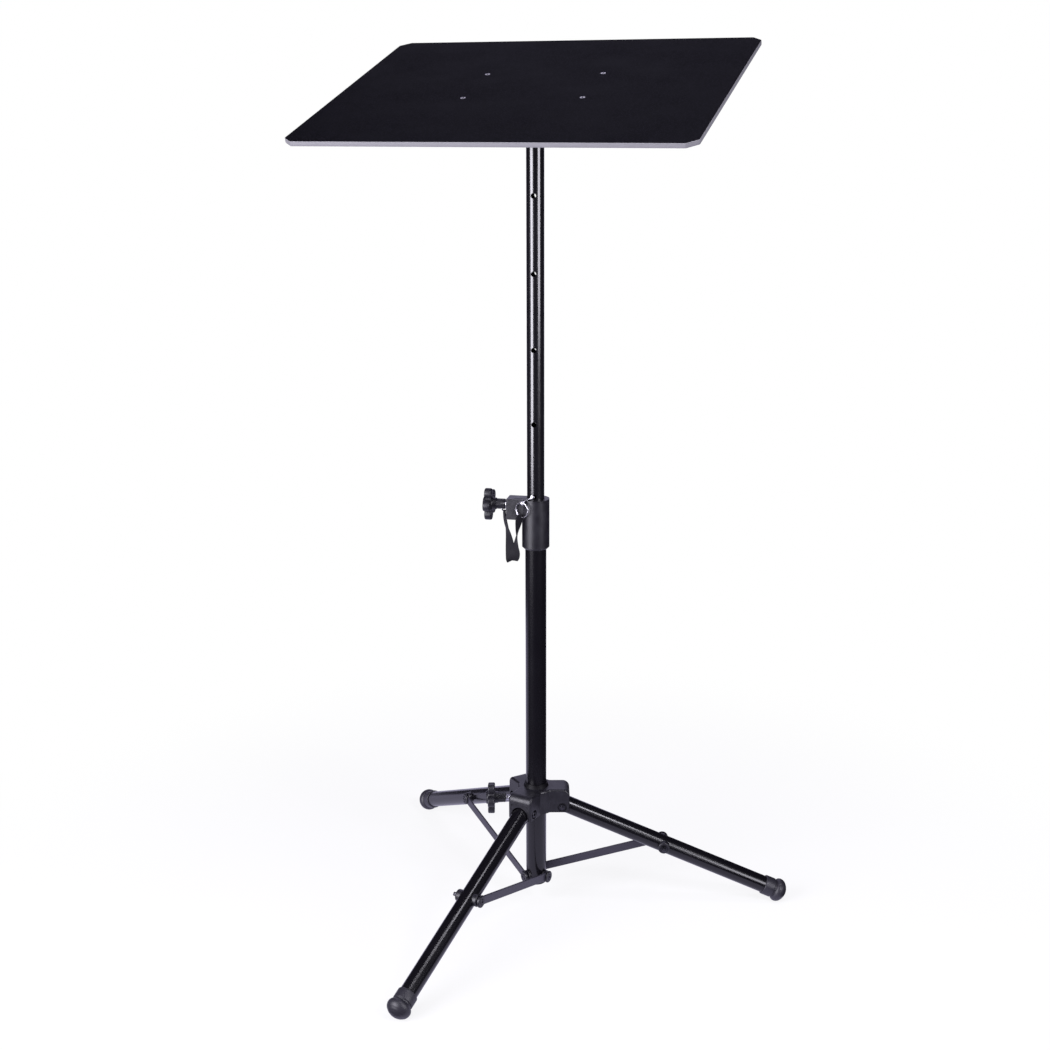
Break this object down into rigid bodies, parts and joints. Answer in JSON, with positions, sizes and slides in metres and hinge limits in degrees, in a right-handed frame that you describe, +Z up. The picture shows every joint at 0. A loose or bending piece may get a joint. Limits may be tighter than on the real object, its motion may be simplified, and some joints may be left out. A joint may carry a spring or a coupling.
{
  "type": "portable projector stand",
  "caption": "Folding tripod stand with a sliding leg hub, a clamped telescopic pole with a safety pin, and a wide flat tilting tray for a projector or laptop.",
  "frame": {"origin": "column axis at floor level", "axes": "+Z up along the column, +X along the tray's long side, -Y the side the tray leans down to"},
  "size_m": [0.6153, 0.5977, 1.191],
  "materials": {
    "tube_paint": "gloss",
    "steel_paint": "satin",
    "black_plastic": "matt, fine moulded grain",
    "foot_rubber": "matt",
    "bright_steel": "bright plated",
    "black_bolts": "black oxide",
    "tray_board": "pale grey edge",
    "tray_laminate": "fine pebble texture",
    "lanyard_webbing": "woven"
  },
  "bodies": {
    "column": {"column_tube": "tube_paint", "base_plug": "black_plastic", "strut_bosses": "steel_paint", "strut_bolts": "black_bolts", "collar_clamp": "black_plastic", "lanyard_eyelet": "bright_steel", "lanyard": "lanyard_webbing"},
    "hub": {"hub": "black_plastic", "hub_bush": "black_plastic", "leg_pivot_bolts": "black_bolts"},
    "hub_knob": {"hub_knob": "black_plastic", "hub_knob_stud": "bright_steel"},
    "collar_knob": {"collar_knob": "black_plastic", "collar_knob_stud": "bright_steel"},
    "pole": {"pole_tube": "tube_paint", "safety_pin": "bright_steel", "pin_ring": "bright_steel"},
    "head": {"cross_tube": "steel_paint"},
    "tray": {"tray_board": "tray_board", "tray_top": "tray_laminate", "tray_screws": "bright_steel", "tilt_bracket_left": "steel_paint", "tilt_bracket_right": "steel_paint", "tilt_bolt": "black_bolts"},
    "leg_1": {"leg_1": "tube_paint", "foot_1": "foot_rubber", "leg_bolt_1": "black_bolts"},
    "strut_1": {"strut_1": "steel_paint"},
    "leg_2": {"leg_2": "tube_paint", "foot_2": "foot_rubber", "leg_bolt_2": "black_bolts"},
    "strut_2": {"strut_2": "steel_paint"},
    "leg_3": {"leg_3": "tube_paint", "foot_3": "foot_rubber", "leg_bolt_3": "black_bolts"},
    "strut_3": {"strut_3": "steel_paint"}
  },
  "joints": [
    {"name": "hub_slide", "type": "slide", "parent": "column", "child": "hub", "axis": [0, 0, 1], "range_m": [0, 0.22814]},
    {"name": "leg_1_fold", "type": "hinge", "parent": "hub", "child": "leg_1", "pos_m": [0.03465, 0.01146, 0.15388], "axis": [-0.314, 0.9494, 0], "range_deg": [0, 63.46]},
    {"name": "leg_2_fold", "type": "hinge", "parent": "hub", "child": "leg_2", "pos_m": [-0.02725, 0.02428, 0.15388], "axis": [-0.6652, -0.7466, 0], "range_deg": [0, 63.46]},
    {"name": "leg_3_fold", "type": "hinge", "parent": "hub", "child": "leg_3", "pos_m": [-0.0074, -0.03574, 0.15388], "axis": [0.9792, -0.2028, 0], "range_deg": [0, 63.46]},
    {"name": "strut_1_fold", "type": "hinge", "parent": "column", "child": "strut_1", "pos_m": [0, 0, 0.042], "axis": [0.314, -0.9494, 0], "range_deg": [0, 61.92]},
    {"name": "strut_2_fold", "type": "hinge", "parent": "column", "child": "strut_2", "pos_m": [0, 0, 0.042], "axis": [0.6652, 0.7466, 0], "range_deg": [0, 61.92]},
    {"name": "strut_3_fold", "type": "hinge", "parent": "column", "child": "strut_3", "pos_m": [0, 0, 0.042], "axis": [-0.9792, 0.2028, 0], "range_deg": [0, 61.92]},
    {"name": "hub_knob_turn", "type": "hinge", "parent": "hub", "child": "hub_knob", "pos_m": [-0.04747, -0.0157, 0.16138], "axis": [-0.9494, -0.314, 0], "continuous": true},
    {"name": "collar_knob_turn", "type": "hinge", "parent": "column", "child": "collar_knob", "pos_m": [-0.04967, -0.00575, 0.588], "axis": [-0.9934, -0.1149, 0], "continuous": true},
    {"name": "pole_slide", "type": "slide", "parent": "column", "child": "pole", "axis": [0, 0, 1], "range_m": [0, 0.06]},
    {"name": "head_swivel", "type": "hinge", "parent": "pole", "child": "head", "pos_m": [0, 0, 1.052], "axis": [0, 0, 1], "continuous": true},
    {"name": "tray_tilt", "type": "hinge", "parent": "head", "child": "tray", "pos_m": [-0.003, 0, 1.082], "axis": [1, 0, 0], "range_deg": [-18, 12]}
  ],
  "couplings": [
    {"joint": "leg_1_fold", "follows": "hub_slide", "rad_per_m": 4.8541},
    {"joint": "leg_2_fold", "follows": "hub_slide", "rad_per_m": 4.8541},
    {"joint": "leg_3_fold", "follows": "hub_slide", "rad_per_m": 4.8541},
    {"joint": "strut_1_fold", "follows": "hub_slide", "rad_per_m": 4.736},
    {"joint": "strut_2_fold", "follows": "hub_slide", "rad_per_m": 4.736},
    {"joint": "strut_3_fold", "follows": "hub_slide", "rad_per_m": 4.736}
  ]
}
